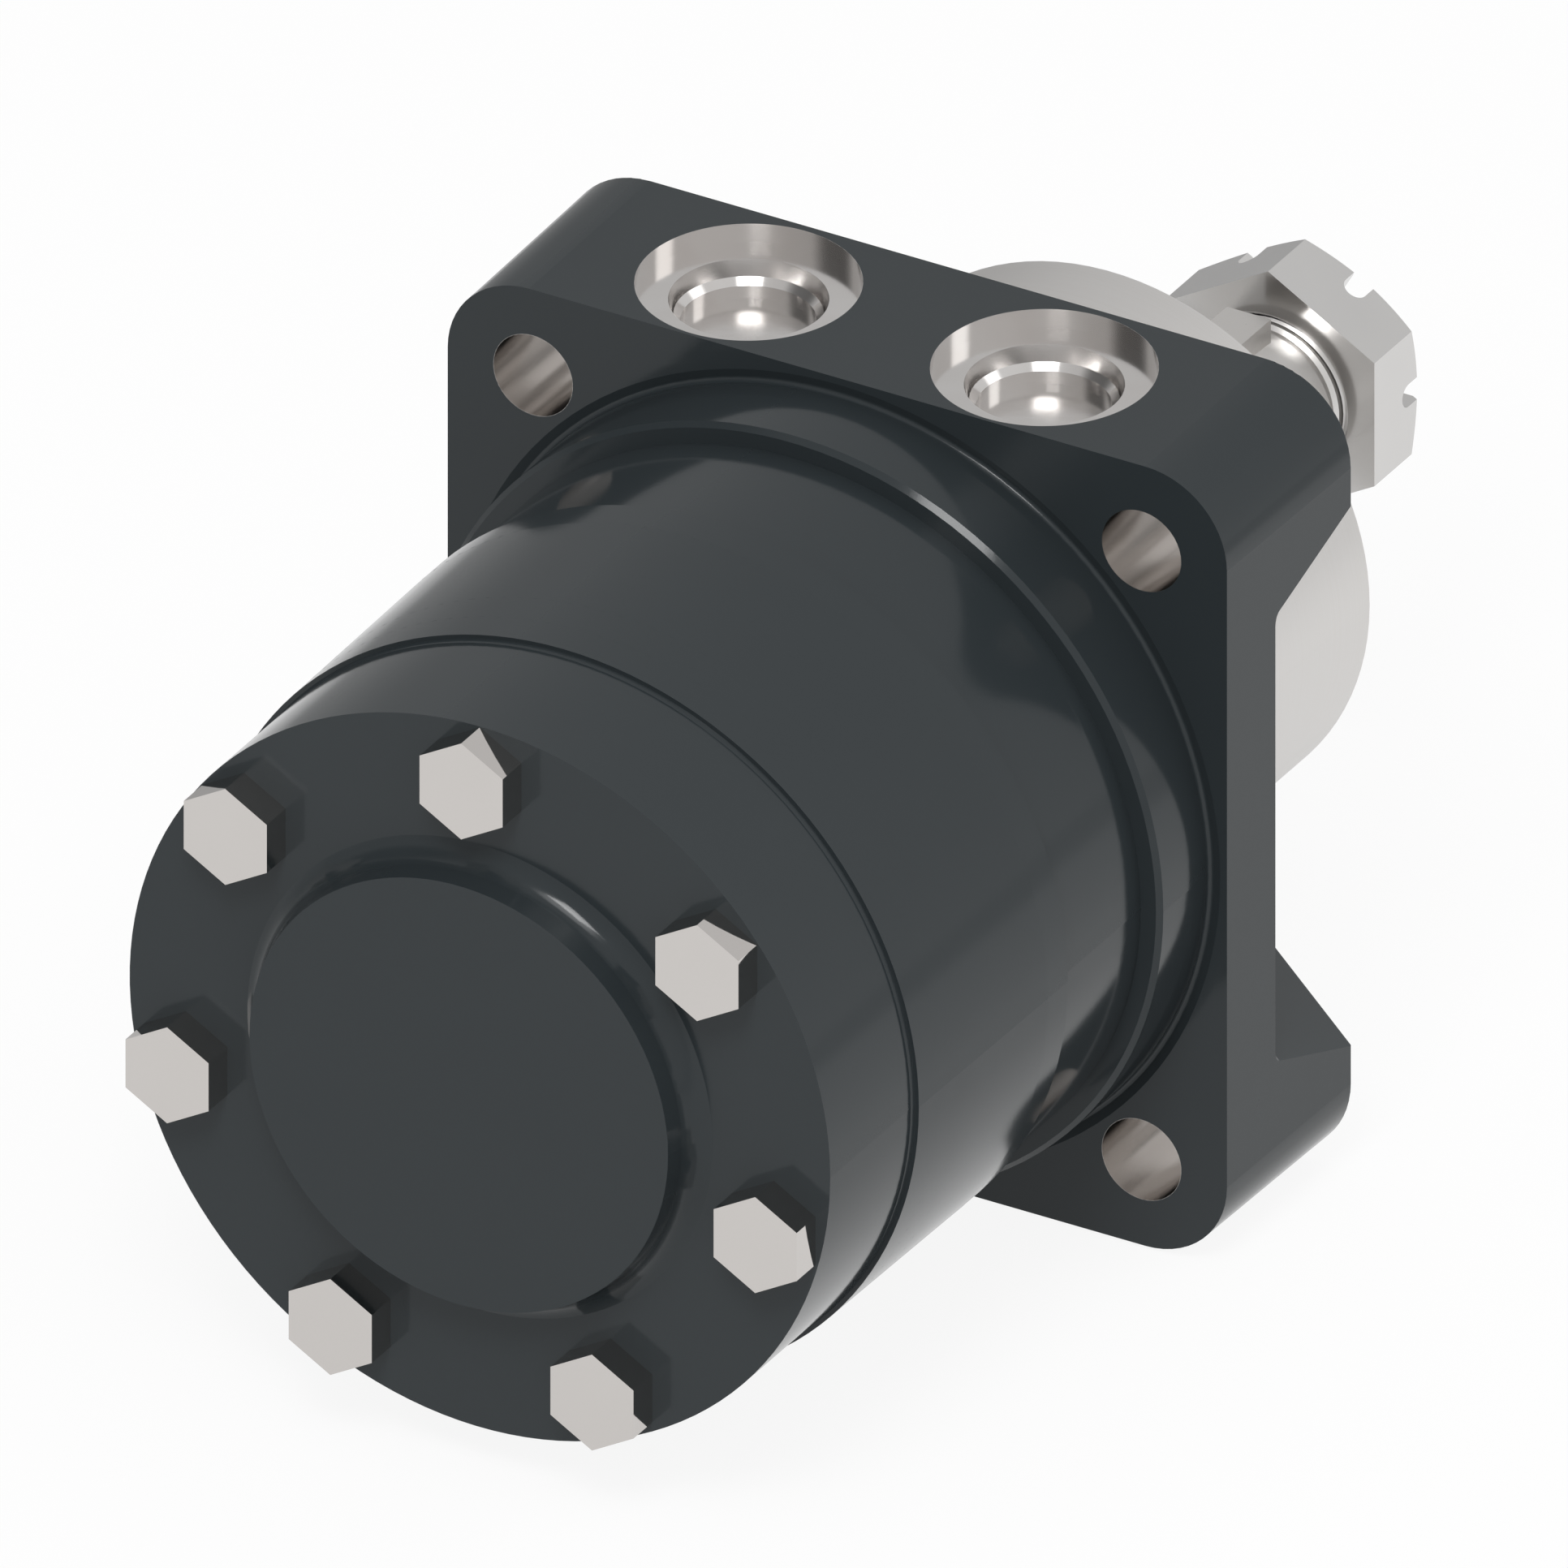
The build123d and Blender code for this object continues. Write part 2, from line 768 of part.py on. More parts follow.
def shaft_seal():
    """High-pressure lip seal: outer shell, face and a lip towards the shaft."""
    start = seal_bore_start + backup_washer_thickness
    end = start + shaft_seal_length
    lip = seal_journal_radius + seal_lip_gap
    wall = seal_bore_radius - seal_section
    return turned(
        (wall, start),
        (seal_bore_radius, start),
        (seal_bore_radius, end),
        (lip + seal_section, end),
        (lip, end - shaft_lip_edge),
        (lip + seal_section, end - shaft_lip_heel),
        (lip + seal_section + shaft_lip_thickness, end - seal_section),
        (wall, end - seal_section),
    )


def snap_ring():
    """Open spring ring that holds the shaft seal in."""
    start = seal_bore_start + backup_washer_thickness + shaft_seal_length
    outer = seal_bore_radius + snap_ring_depth
    body = tube(start, start + snap_ring_thickness, outer, outer - snap_ring_width)
    end = start + snap_ring_thickness
    inner = outer - snap_ring_width
    return body - bar(start - cut, end + cut, inner - cut, outer + cut, snap_ring_opening, -90)


def wiper_seal():
    """Dust wiper in the mouth of the barrel, with a lip that leans outwards."""
    end = barrel_end - wiper_recess
    start = end - wiper_seal_length
    lip = seal_journal_radius + seal_lip_gap
    return turned(
        (lip + seal_section, start),
        (seal_bore_radius, start),
        (seal_bore_radius, end),
        (lip + seal_section + wiper_lip_width + wiper_valley_width - wiper_lip_face, end),
        (lip + wiper_lip_width + wiper_lip_face, end - wiper_valley),
        (lip + wiper_lip_face, end),
        (lip, end - wiper_lip_face),
    )


def save(shape, name):
    """Writes one sub-part under its own name."""
    solids = shape if isinstance(shape, list) else [shape]
    flat = [solid for item in solids for solid in item.solids()]
    body = flat[0] if len(flat) == 1 else Compound(children=flat)
    body.label = name
    export_step(body, f"parts/{name}.step")


# Writing every sub-part
os.makedirs("parts", exist_ok=True)
save(housing(), "housing")
save(wear_plate(), "wear_plate")
save(stator_ring(), "stator_ring")
save(manifold_plate(), "manifold_plate")
save(port_plate(), "port_plate")
save(end_cover(), "end_cover")
save(cover_bolts(), "cover_bolts")
save(body_seal(neck_rear, -1), "seal_housing_side")
save(body_seal(stator_front, 1), "seal_stator_front")
save(body_seal(stator_rear, -1), "seal_stator_rear")
save(body_seal(port_plate_front, -1), "seal_port_plate")
save(body_seal(stack_rear, 1), "seal_cover")
save(rotor(), "rotor")
for index, angle in enumerate(roller_angles(), start=1):
    save(roller(angle), f"stator_roller_{index}")
save(drive_link(), "drive_link")
save(commutator(), "commutator")
save(commutator_seal(), "commutator_seal")
save(output_shaft(), "output_shaft")
save(shaft_key(), "shaft_key")
save(slotted_nut(), "slotted_nut")
save(needle_race(rear_race_start, rear_race_end, rear_race_radius), "rear_bearing_race")
save(needle_cage(rear_race_start, rear_race_end, shaft_drum_radius, rear_needle_count), "rear_bearing_cage")
save(needles(rear_race_start, rear_race_end, shaft_drum_radius, rear_needle_count), "rear_bearing_needles")
save(needle_race(front_race_start, front_race_end, front_race_radius), "front_bearing_race")
save(needle_cage(front_race_start, front_race_end, journal_radius, front_needle_count), "front_bearing_cage")
save(needles(front_race_start, front_race_end, journal_radius, front_needle_count), "front_bearing_needles")
save(thrust_washer(shaft_drum_end), "thrust_washer_shaft")
save(thrust_washer(thrust_seat - thrust_washer_thickness), "thrust_washer_housing")
save(thrust_cage(), "thrust_bearing_cage")
save(thrust_needles(), "thrust_bearing_needles")
save(backup_washer(), "seal_backup_washer")
save(shaft_seal(), "shaft_seal")
save(snap_ring(), "snap_ring")
save(wiper_seal(), "wiper_seal")
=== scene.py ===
import math

import bpy
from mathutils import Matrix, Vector


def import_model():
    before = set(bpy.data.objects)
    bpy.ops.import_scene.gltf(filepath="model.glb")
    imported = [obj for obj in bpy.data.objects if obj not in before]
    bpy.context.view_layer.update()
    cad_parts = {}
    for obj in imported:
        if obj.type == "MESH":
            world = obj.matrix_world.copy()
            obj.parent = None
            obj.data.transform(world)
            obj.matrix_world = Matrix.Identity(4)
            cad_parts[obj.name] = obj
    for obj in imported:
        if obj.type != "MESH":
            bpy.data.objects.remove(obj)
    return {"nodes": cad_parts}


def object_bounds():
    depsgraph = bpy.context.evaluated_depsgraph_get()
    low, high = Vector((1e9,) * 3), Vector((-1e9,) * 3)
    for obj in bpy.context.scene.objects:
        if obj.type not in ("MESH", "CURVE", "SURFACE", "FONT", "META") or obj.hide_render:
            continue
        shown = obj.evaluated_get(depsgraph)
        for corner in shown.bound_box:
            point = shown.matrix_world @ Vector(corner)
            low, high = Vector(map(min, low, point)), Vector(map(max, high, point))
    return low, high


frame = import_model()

# Orbital hydraulic motor: finishes, floor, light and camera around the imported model.
# Metres. The motor axis is Y, the output shaft points to +Y and the ports face +Z.

cad_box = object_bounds()

# Places on the motor, for finishes that stop at an edge
PORT_SPACING = 0.05074
PORT_SETBACK = 0.0176
SPOTFACE_RADIUS = 0.0170
SEAL_CONE_RADIUS = 0.0120
PORT_FACE = 0.06425
CONE_END = 0.0617
PORT_FLOOR = 0.0586
PORT_METAL_FROM = 0.040
BOLT_HOLE_SPACING = 0.1044
BOLT_HOLE_RADIUS = 0.0068
BARREL_RADIUS = 0.0444
BARREL_BARE_FROM = 0.0141
EDGE_MARGIN = 0.00001
THREAD_START = 0.1271
THREAD_RADIUS = 0.0124
THREAD_PITCH = 0.00181
THREAD_HEIGHT = 0.0011

# Camera: the photograph looks down at 30 degrees, from 30 degrees right of the motor axis
VIEW_AZIMUTH = math.radians(30)
VIEW_ELEVATION = math.radians(30)
VIEW_WIDTH = 0.23298
VIEW_AIM = Vector((-0.00624, -0.00503, -0.00215))
VIEW_DISTANCE = 1.5

FULL_TURN = 2 * math.pi


class Value:
    """A number, colour or vector of a material, so that it can be used in an expression."""

    def __init__(self, tree, socket):
        self.tree = tree
        self.socket = socket

    def node(self, kind, settings=None, inputs=None, output=0):
        """Adds a node of any kind: its settings come first, then its sockets get values or links."""
        return make_node(self.tree, kind, settings, inputs, output)

    def calculate(self, operation, *inputs):
        """One Math node on these numbers."""
        return self.node("ShaderNodeMath", {"operation": operation}, dict(enumerate(inputs)))

    def __add__(self, other):
        return self.calculate("ADD", self, other)

    def __radd__(self, other):
        return self.calculate("ADD", other, self)

    def __sub__(self, other):
        return self.calculate("SUBTRACT", self, other)

    def __rsub__(self, other):
        return self.calculate("SUBTRACT", other, self)

    def __mul__(self, other):
        return self.calculate("MULTIPLY", self, other)

    def __rmul__(self, other):
        return self.calculate("MULTIPLY", other, self)

    def __truediv__(self, other):
        return self.calculate("DIVIDE", self, other)

    def below(self, other):
        """1 where this number is under the other, else 0."""
        return self.calculate("LESS_THAN", self, other)

    def above(self, other):
        """1 where this number is over the other, else 0."""
        return self.calculate("GREATER_THAN", self, other)

    def at_least(self, other):
        """The larger of the two numbers."""
        return self.calculate("MAXIMUM", self, other)

    def distance(self):
        """Absolute value."""
        return self.calculate("ABSOLUTE", self)

    def root(self):
        """Square root."""
        return self.calculate("SQRT", self)

    def fraction(self):
        """What is left over the whole number below."""
        return self.calculate("FRACT", self)

    def cosine(self):
        """Cosine of this number of radians."""
        return self.calculate("COSINE", self)

    def sine(self):
        """Sine of this number of radians."""
        return self.calculate("SINE", self)

    def angle_over(self, across):
        """Angle in radians of a point this high and that far across."""
        return self.calculate("ARCTAN2", self, across)


def make_node(tree, kind, settings=None, inputs=None, output=0):
    """The one maker of nodes, which returns the chosen output as a Value."""
    made = tree.nodes.new(kind)
    for name, setting in (settings or {}).items():
        setattr(made, name, setting)
    for name, given in (inputs or {}).items():
        socket = made.inputs[name]
        if isinstance(given, Value):
            tree.links.new(given.socket, socket)
        else:
            socket.default_value = given
    return Value(tree, made.outputs[output])


class Surface:
    """A new material, with the point on the motor as X, Y and Z in metres."""

    def __init__(self, name):
        self.material = bpy.data.materials.new(name)
        self.material.use_nodes = True
        self.tree = self.material.node_tree
        self.tree.nodes.clear()
        self.point = make_node(self.tree, "ShaderNodeTexCoord", output="Object")
        parts = [self.point.node("ShaderNodeSeparateXYZ", None, {0: self.point}, k) for k in range(3)]
        self.x, self.y, self.z = parts

    def from_axis(self, across, up):
        """Distance from the line where both numbers are 0."""
        return (across * across + up * up).root()

    def turn(self, across, up):
        """Angle about that line, from 0 to 1 for a full turn."""
        return up.angle_over(across) / FULL_TURN + 0.5

    def noise(self, vector, scale, detail=2.0, roughness=0.5):
        """Smooth noise from 0 to 1 on a vector."""
        inputs = {"Vector": vector, "Scale": scale, "Detail": detail, "Roughness": roughness}
        return self.point.node("ShaderNodeTexNoise", None, inputs, "Fac")

    def place(self, x, y, z):
        """A vector from three numbers."""
        return self.point.node("ShaderNodeCombineXYZ", None, {0: x, 1: y, 2: z})

    def blend(self, factor, first, second):
        """A colour between two colours."""
        settings = {"data_type": "RGBA", "clamp_factor": True}
        inputs = {0: factor, 6: first, 7: second}
        return self.point.node("ShaderNodeMix", settings, inputs, 2)

    def choose(self, factor, first, second):
        """A number between two numbers."""
        return first + factor * (second - first)

    def bump(self, height, distance, under=None):
        """A normal from a height in parts of a distance in metres, on top of another normal."""
        inputs = {"Height": height, "Distance": distance, "Strength": 1.0}
        if under:
            inputs["Normal"] = under
        return self.point.node("ShaderNodeBump", None, inputs)

    def finish(self, **sockets):
        """Ends the material with its shader, and returns the material."""
        names = {}
        for key, given in sockets.items():
            names[key.replace("_", " ").title().replace("Ior", "IOR")] = given
        shader = make_node(self.tree, "ShaderNodeBsdfPrincipled", None, names)
        make_node_output(self.tree, "ShaderNodeOutputMaterial", shader)
        return self.material


def make_node_output(tree, kind, shader):
    """Joins a shader to a material's or the world's output."""
    out = tree.nodes.new(kind)
    tree.links.new(shader.socket, out.inputs["Surface"])


# Colours of the finishes
PAINT_DARK = (0.0225, 0.0280, 0.0310, 1)
PAINT_LIGHT = (0.0245, 0.0305, 0.0335, 1)
PAINT_IOR = 1.34
# STEEL_DEEP to STEEL_COOL and STEEL_WARM also span the painted reflection stripes in the port and
# bolt-hole bores
STEEL_WARM = (0.66, 0.64, 0.62, 1)
STEEL_COOL = (0.70, 0.69, 0.68, 1)
STEEL_DEEP = (0.60, 0.57, 0.55, 1)
BOLT_DEEP = (0.57, 0.545, 0.525, 1)
BOLT_BRIGHT = (0.60, 0.575, 0.555, 1)
NUT_DEEP = (0.61, 0.60, 0.59, 1)
NUT_BRIGHT = (0.67, 0.66, 0.65, 1)
KEY_DEEP = (0.62, 0.60, 0.58, 1)
KEY_BRIGHT = (0.68, 0.66, 0.64, 1)
OXIDE_DEEP = (0.05, 0.05, 0.055, 1)
OXIDE_BRIGHT = (0.09, 0.09, 0.095, 1)
RUBBER_DARK = (0.012, 0.012, 0.013, 1)
RUBBER_LIGHT = (0.020, 0.020, 0.021, 1)
PTFE_DARK = (0.04, 0.05, 0.04, 1)
PTFE_LIGHT = (0.06, 0.07, 0.06, 1)

# Least roughness of each finish, and what its grain, cloud or face adds
PAINT_ROUGHNESS = 0.10
PAINT_CLOUDING = 0.05
BARREL_ROUGHNESS = 0.34
BARREL_GRAIN = 0.08
PORT_ROUGHNESS = 0.10
PORT_FACE_DULLER = 0.04
PORT_FLOOR_DULLER = 0.08
PORT_CONE_DULLER = 0.10
HOLE_ROUGHNESS = 0.16
TAPER_ROUGHNESS = 0.32
TAPER_GRAIN = 0.06
THREAD_ROUGHNESS = 0.34
BOLT_ROUGHNESS = 0.03
NUT_ROUGHNESS = 0.14
KEY_ROUGHNESS = 0.26
BEARING_ROUGHNESS = 0.14
CAGE_ROUGHNESS = 0.32
OXIDE_ROUGHNESS = 0.34
MOULDED_ROUGHNESS = 0.52
MOULDED_GRAIN = 0.12
STEEL_GRAIN = 0.05

# Share of the grain in a steel's tone, and height of turning marks beside the paint's peel
GRAIN_IN_TONE = 0.35
TURNED_HEIGHT = 0.6

# Scales of the noise, per metre, and of the painted reflection stripes in the bores, per radius
CLOUD_SCALE = 45.0
PEEL_SCALE = 1100.0
TURNED_SCALE = 4200.0
RING_SCALE = 5200.0
GRAIN_SCALE = 2600.0
STEEL_CLOUD_SCALE = 70.0
MOULDED_SCALE = 1500.0
PORT_REFLECTION_STREAKS = 1.3
HOLE_REFLECTION_STREAKS = 2.2

# Heights of the relief, in metres
PAINT_RELIEF = 0.000004
GRAIN_RELIEF = 0.000008
RING_RELIEF = 0.0000015


def paint_parts(surface):
    """Colour, roughness and height of the glossy dark enamel on the castings."""
    cloud = surface.noise(surface.point, CLOUD_SCALE, 3.0)
    peel = surface.noise(surface.point, PEEL_SCALE)
    colour = surface.blend(cloud, PAINT_DARK, PAINT_LIGHT)
    roughness = PAINT_ROUGHNESS + PAINT_CLOUDING * cloud
    return colour, roughness, peel


def enamel(name):
    """Glossy enamel, for the plates and the end cover."""
    surface = Surface(name)
    colour, roughness, peel = paint_parts(surface)
    normal = surface.bump(peel, PAINT_RELIEF)
    return surface.finish(
        base_color=colour, roughness=roughness, metallic=0.0, ior=PAINT_IOR, normal=normal
    )


def painted_reflection_streaks(surface, turn, count):
    """Painted reflections: soft light and dark stripes round a bore, the same all along it."""
    radians = turn * FULL_TURN
    circle = surface.place(radians.cosine(), radians.sine(), 0.0)
    return surface.noise(circle, count, 2.0, 0.6)


def housing_finish():
    """Enamel on the casting, with bare machined metal on the barrel, the ports and the holes, and
    painted reflection stripes round the port and hole bores.
    """
    surface = Surface("housing_enamel_and_bare_metal")
    x, y, z = surface.x, surface.y, surface.z
    paint, paint_roughness, peel = paint_parts(surface)

    from_motor_axis = surface.from_axis(x, z)
    barrel = from_motor_axis.below(BARREL_RADIUS + EDGE_MARGIN) * y.above(BARREL_BARE_FROM)
    port_x = x.distance() - PORT_SPACING / 2
    port_y = y - PORT_SETBACK
    from_port_axis = surface.from_axis(port_x, port_y)
    spotface = from_port_axis.below(SPOTFACE_RADIUS + EDGE_MARGIN) * z.above(PORT_FACE - EDGE_MARGIN)
    bore = from_port_axis.below(SEAL_CONE_RADIUS + EDGE_MARGIN) * z.above(PORT_METAL_FROM)
    port = spotface.at_least(bore)
    faced = (z - PORT_FACE).distance().below(EDGE_MARGIN)
    floored = (z - PORT_FLOOR).distance().below(EDGE_MARGIN)
    coned = z.below(PORT_FACE - EDGE_MARGIN) * z.above(CONE_END)
    hole_x = x.distance() - BOLT_HOLE_SPACING / 2
    hole_z = z.distance() - BOLT_HOLE_SPACING / 2
    hole = surface.from_axis(hole_x, hole_z).below(BOLT_HOLE_RADIUS + EDGE_MARGIN)

    turned = surface.noise(surface.place(0.0, y, from_motor_axis), TURNED_SCALE)
    # Painted reflections: light and dark stripes round the port and bolt-hole bores, put into their
    # colour
    port_painted_reflections = painted_reflection_streaks(surface, surface.turn(port_x, port_y), PORT_REFLECTION_STREAKS)
    hole_painted_reflections = painted_reflection_streaks(surface, surface.turn(hole_x, hole_z), HOLE_REFLECTION_STREAKS)
    barrel_colour = surface.blend(turned, STEEL_WARM, STEEL_COOL)
    port_colour_with_reflections = surface.blend(port_painted_reflections, STEEL_DEEP, STEEL_COOL)
    hole_colour_with_reflections = surface.blend(hole_painted_reflections, STEEL_DEEP, STEEL_WARM)

    colour = surface.blend(barrel, paint, barrel_colour)
    colour = surface.blend(port, colour, port_colour_with_reflections)
    colour = surface.blend(hole, colour, hole_colour_with_reflections)
    bare = barrel.at_least(port).at_least(hole)
    duller = PORT_FACE_DULLER * faced + PORT_FLOOR_DULLER * floored + PORT_CONE_DULLER * coned
    roughness = surface.choose(barrel, paint_roughness, BARREL_ROUGHNESS + BARREL_GRAIN * turned)
    roughness = surface.choose(port, roughness, PORT_ROUGHNESS + duller)
    roughness = surface.choose(hole, roughness, HOLE_ROUGHNESS)
    height = surface.choose(bare, peel, turned * TURNED_HEIGHT)
    normal = surface.bump(height, PAINT_RELIEF)
    return surface.finish(
        base_color=colour, roughness=roughness, metallic=bare, ior=PAINT_IOR, normal=normal
    )


def plated_steel(name, deep, bright, least_roughness):
    """Plated or ground steel with a fine grain and slow shifts of tone."""
    surface = Surface(name)
    grain = surface.noise(surface.point, GRAIN_SCALE, 3.0, 0.6)
    cloud = surface.noise(surface.point, STEEL_CLOUD_SCALE)
    colour = surface.blend(GRAIN_IN_TONE * grain + (1 - GRAIN_IN_TONE) * cloud, deep, bright)
    normal = surface.bump(grain, GRAIN_RELIEF * least_roughness)
    roughness = least_roughness + STEEL_GRAIN * grain
    return surface.finish(base_color=colour, roughness=roughness, metallic=1.0, normal=normal)


def shaft_finish():
    """Ground steel: turning marks on the taper and a fine thread at the end."""
    surface = Surface("shaft_ground_steel")
    y = surface.y
    from_axis = surface.from_axis(surface.x, surface.z)
    rings = surface.noise(surface.place(0.0, y, from_axis), RING_SCALE)
    helix = y / THREAD_PITCH + surface.turn(surface.x, surface.z)
    ridge = (helix.fraction() - 0.5).distance() * 2.0
    thread = y.above(THREAD_START) * from_axis.above(THREAD_RADIUS)
    colour = surface.blend(rings, STEEL_WARM, STEEL_COOL)
    roughness = surface.choose(thread, TAPER_ROUGHNESS + TAPER_GRAIN * rings, THREAD_ROUGHNESS)
    fine = surface.bump(rings, RING_RELIEF)
    normal = surface.bump(thread * ridge, THREAD_HEIGHT, fine)
    return surface.finish(base_color=colour, roughness=roughness, metallic=1.0, normal=normal)


def moulded(name, dark, light):
    """Moulded rubber or plastic, matte, with a fine grain."""
    surface = Surface(name)
    grain = surface.noise(surface.point, MOULDED_SCALE)
    colour = surface.blend(grain, dark, light)
    roughness = MOULDED_ROUGHNESS + MOULDED_GRAIN * grain
    normal = surface.bump(grain, GRAIN_RELIEF)
    return surface.finish(base_color=colour, roughness=roughness, metallic=0.0, normal=normal)


def dress(finish, *names):
    """Gives these nodes one finish."""
    for name in names:
        node = frame["nodes"][name]
        node.data.materials.clear()
        node.data.materials.append(finish)


# Which finish each piece wears
rollers = [f"stator_roller_{k}" for k in range(1, 8)]
bearing_steel = ["rotor", "drive_link", "commutator", "rear_bearing_race", "rear_bearing_needles"]
bearing_steel += ["front_bearing_race", "front_bearing_needles", "thrust_bearing_needles"]
bearing_steel += ["thrust_washer_shaft", "thrust_washer_housing", "seal_backup_washer"]
cages = ["rear_bearing_cage", "front_bearing_cage", "thrust_bearing_cage"]
rubber_parts = ["seal_housing_side", "seal_stator_front", "seal_stator_rear", "seal_port_plate"]
rubber_parts += ["seal_cover", "shaft_seal", "wiper_seal"]

dress(housing_finish(), "housing")
dress(enamel("plate_enamel"), "wear_plate", "stator_ring", "manifold_plate", "port_plate")
dress(enamel("cover_enamel"), "end_cover")
dress(plated_steel("bolt_plated_steel", BOLT_DEEP, BOLT_BRIGHT, BOLT_ROUGHNESS), "cover_bolts")
dress(plated_steel("nut_plated_steel", NUT_DEEP, NUT_BRIGHT, NUT_ROUGHNESS), "slotted_nut")
dress(plated_steel("key_steel", KEY_DEEP, KEY_BRIGHT, KEY_ROUGHNESS), "shaft_key")
dress(plated_steel("bearing_steel", STEEL_WARM, STEEL_COOL, BEARING_ROUGHNESS), *bearing_steel, *rollers)
dress(plated_steel("pressed_cage_steel", STEEL_DEEP, STEEL_WARM, CAGE_ROUGHNESS), *cages)
dress(shaft_finish(), "output_shaft")
dress(plated_steel("dark_spring_steel", OXIDE_DEEP, OXIDE_BRIGHT, OXIDE_ROUGHNESS), "snap_ring")
dress(moulded("seal_rubber", RUBBER_DARK, RUBBER_LIGHT), *rubber_parts)
dress(moulded("filled_ptfe", PTFE_DARK, PTFE_LIGHT), "commutator_seal")


# Floor: shares of it that are plain matt to each kind of ray, and where it fades
FLOOR_SIZE = 1.3
FLOOR_COLOUR = (0.86, 0.86, 0.86, 1)
WHITE = (1, 1, 1, 1)
FLOOR_SHARE = 0.10
MIRROR_SHARE = 0.20
# Diffuse rays see the rest of the floor as white glow, so the floor lights the motor from below as a
# fill, though it is no lamp
BOUNCE_SHARE = 0.60
FADE_FROM = 0.38
FADE_TO = 0.52
FADE_DEPTH = 0.35
BACK_FROM = 0.15
BACK_TO = 0.40
BACK_DEPTH = 0.30
BACK_X = -0.6
BACK_Y = 0.8
FLOOR_RAYS = ("Is Camera Ray", "Is Glossy Ray", "Is Transmission Ray", "Is Diffuse Ray")

# Light: the plain sky and how much it gains to the right, then patches on it. Each patch has a
# direction, the angles in degrees where it starts to fade and ends, and what it adds
SKY = 0.72
SKY_TO_RIGHT = 0.17
WINDOW = ((0.68, 0.49, 0.55), 7, 14, 1.1)
DARK_CORNER = ((-0.81, -0.30, 0.50), 8, 30, -0.42)
SOFT_ABOVE = ((0.21, -0.41, 0.85), 8, 16, 4.0)
DIM_BEHIND = ((-0.64, 0.76, -0.08), 10, 28, -0.15)
KEY_DIRECTION = (0.20, -0.64, 0.74)
KEY_DISTANCE = 1.2
KEY_SIZE = 0.32
KEY_POWER = 4.2


def fade(tree, number, span, values):
    """Turns a number into a soft step from one value to the other over a span."""
    inputs = {0: number, 1: span[0], 2: span[1], 3: values[0], 4: values[1]}
    return make_node(tree, "ShaderNodeMapRange", {"interpolation_type": "SMOOTHSTEP"}, inputs)


def floor():
    """Plain pale floor under the lowest point, which keeps a soft shadow, mirrors dimmer far off and
    glows as a fill light on the motor from below.
    """
    low = cad_box[0][2]
    half = FLOOR_SIZE / 2
    mesh = bpy.data.meshes.new("floor")
    corners = [(-half, -half, low), (half, -half, low), (half, half, low), (-half, half, low)]
    mesh.from_pydata(corners, [], [(0, 1, 2, 3)])
    plane = bpy.data.objects.new("floor", mesh)
    bpy.context.scene.collection.objects.link(plane)
    surface = Surface("pale_floor")
    rays = [surface.point.node("ShaderNodeLightPath", None, None, name) for name in FLOOR_RAYS]
    camera_ray, mirror_ray, glass_ray, bounce_ray = rays
    seen = (camera_ray.at_least(glass_ray) * (1 - FLOOR_SHARE)).at_least(mirror_ray * (1 - MIRROR_SHARE))
    # The floor also glows to diffuse rays: a fill light on the motor from below, though it is no lamp
    seen = seen.at_least(bounce_ray * (1 - BOUNCE_SHARE))
    matt = surface.point.node("ShaderNodeBsdfDiffuse", None, {"Color": FLOOR_COLOUR})
    away = surface.from_axis(surface.x, surface.y)
    behind = BACK_Y * surface.y + BACK_X * surface.x
    plain = fade(surface.tree, away, (FADE_FROM, FADE_TO), (1.0, 1.0 - FADE_DEPTH))
    dimmed = fade(surface.tree, behind, (BACK_FROM, BACK_TO), (0.0, BACK_DEPTH))
    strength = plain - dimmed * mirror_ray
    white = surface.point.node("ShaderNodeEmission", None, {"Color": WHITE, "Strength": strength})
    mixed = surface.point.node("ShaderNodeMixShader", None, {0: seen, 1: matt, 2: white})
    make_node_output(surface.tree, "ShaderNodeOutputMaterial", mixed)
    mesh.materials.append(surface.material)


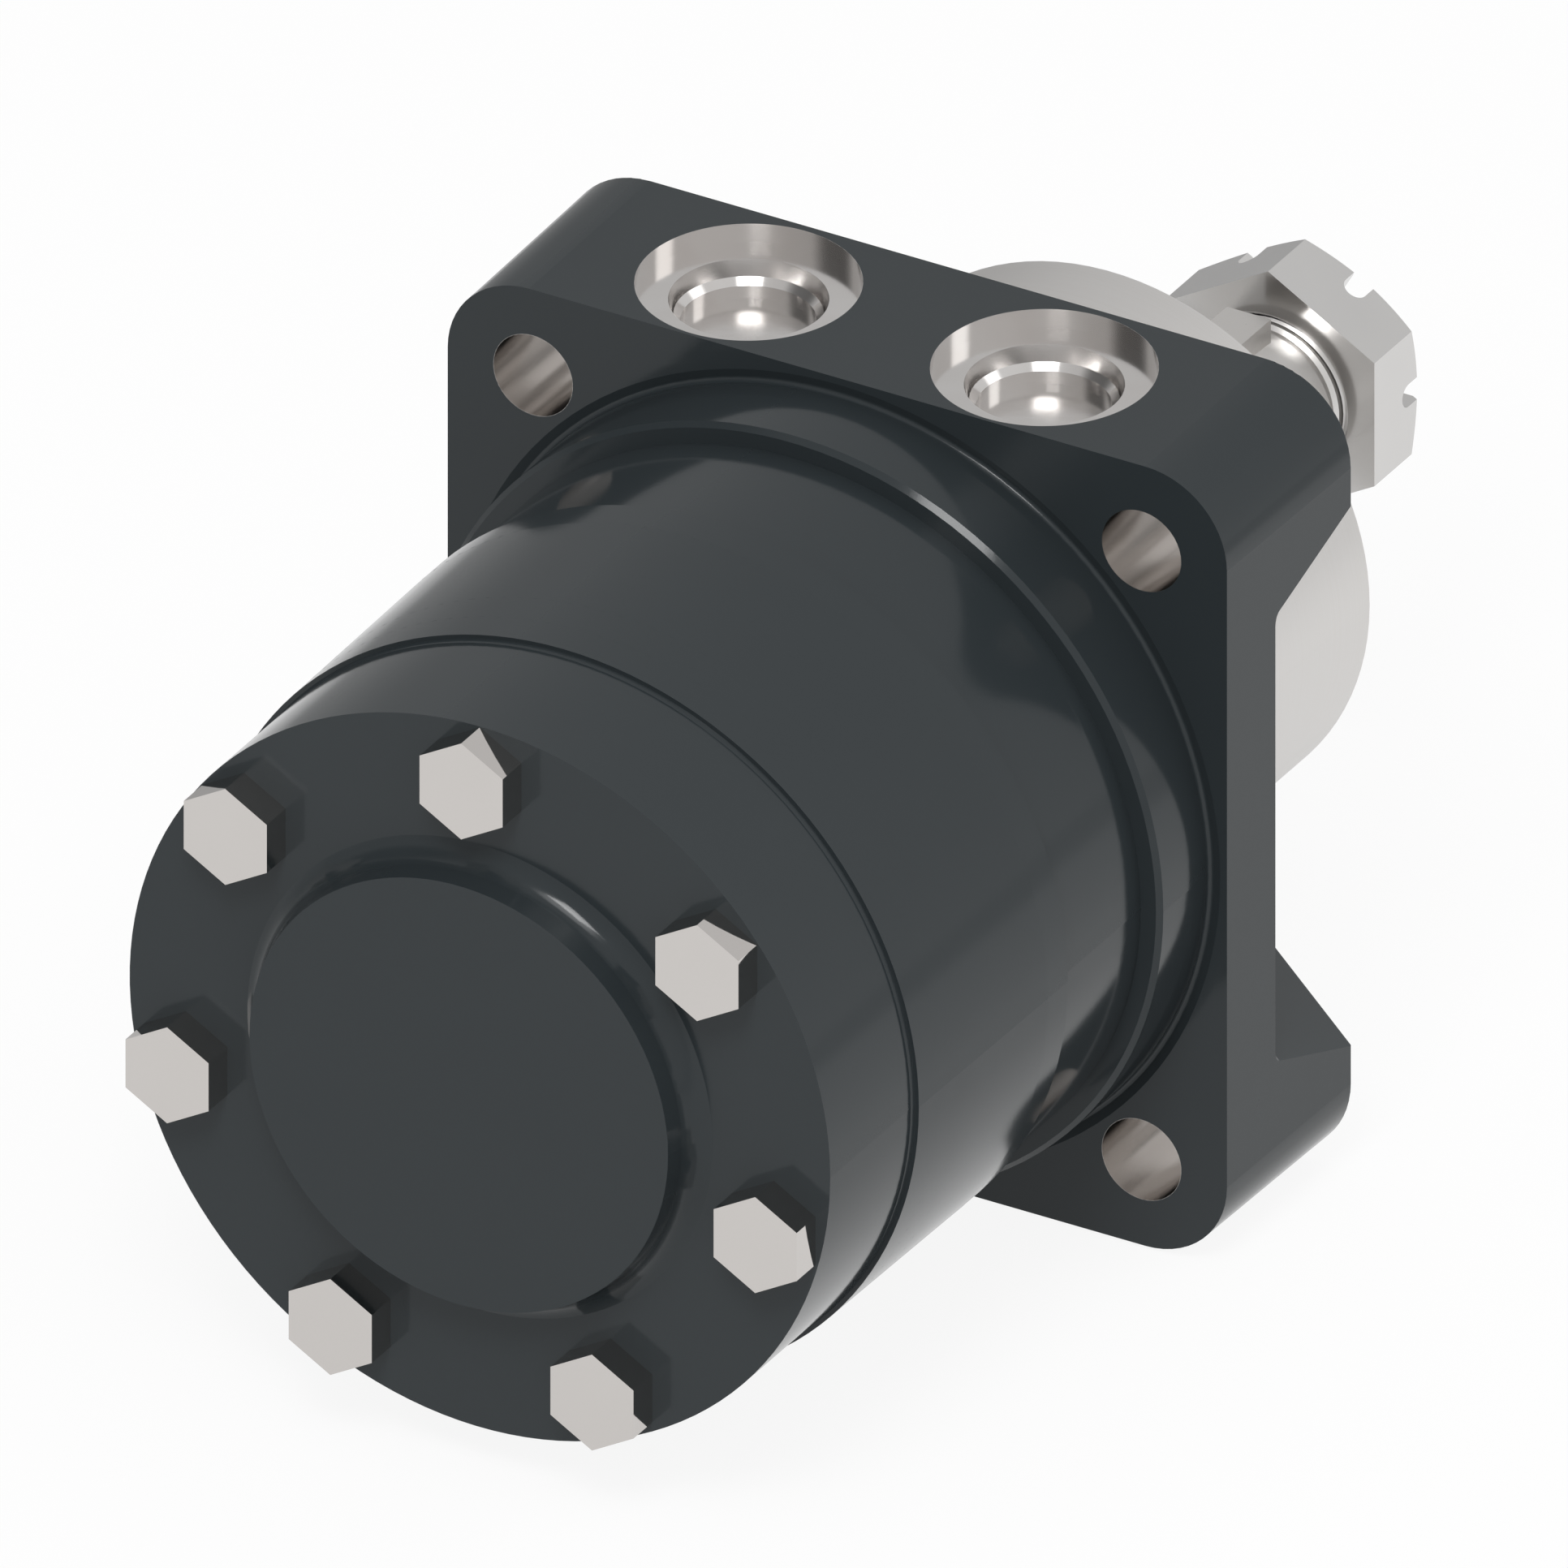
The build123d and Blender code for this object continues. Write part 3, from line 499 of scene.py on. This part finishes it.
def toward(tree, axes, direction, inner, outer):
    """1 within the inner angle of a direction, fading to 0 at the outer angle, in degrees."""
    unit = Vector(direction).normalized()
    along = axes[0] * unit.x + axes[1] * unit.y + axes[2] * unit.z
    return fade(tree, along, (math.cos(math.radians(outer)), math.cos(math.radians(inner))), (0.0, 1.0))


def world():
    """Soft pale studio, brighter on the right, with the patches that the motor mirrors."""
    made = bpy.data.worlds.new("studio")
    bpy.context.scene.world = made
    made.use_nodes = True
    tree = made.node_tree
    tree.nodes.clear()
    direction = make_node(tree, "ShaderNodeTexCoord", output="Generated")
    parts = [direction.node("ShaderNodeSeparateXYZ", None, {0: direction}, k) for k in range(3)]
    strength = SKY + SKY_TO_RIGHT * parts[0]
    for centre, inner, outer, adds in (WINDOW, DARK_CORNER, SOFT_ABOVE, DIM_BEHIND):
        strength = strength + adds * toward(tree, parts, centre, inner, outer)
    background = direction.node("ShaderNodeBackground", None, {"Color": WHITE, "Strength": strength})
    make_node_output(tree, "ShaderNodeOutputWorld", background)


def lamp(name, direction, distance, size, power):
    """Square area lamp that shines at the motor from a direction."""
    data = bpy.data.lights.new(name, "AREA")
    data.size = size
    data.energy = power
    light = bpy.data.objects.new(name, data)
    unit = Vector(direction).normalized()
    light.location = unit * distance
    light.rotation_euler = unit.to_track_quat("Z", "Y").to_euler()
    bpy.context.scene.collection.objects.link(light)


def camera():
    """View without perspective at the photograph's angle."""
    data = bpy.data.cameras.new("camera")
    data.type = "ORTHO"
    data.ortho_scale = VIEW_WIDTH
    back = Vector((
        math.cos(VIEW_ELEVATION) * math.sin(VIEW_AZIMUTH),
        -math.cos(VIEW_ELEVATION) * math.cos(VIEW_AZIMUTH),
        math.sin(VIEW_ELEVATION),
    ))
    view = bpy.data.objects.new("camera", data)
    view.location = VIEW_AIM + back * VIEW_DISTANCE
    view.rotation_euler = back.to_track_quat("Z", "Y").to_euler()
    bpy.context.scene.collection.objects.link(view)
    bpy.context.scene.camera = view


floor()
world()
lamp("key", KEY_DIRECTION, KEY_DISTANCE, KEY_SIZE, KEY_POWER)
camera()
bpy.context.scene.view_settings.view_transform = "Standard"
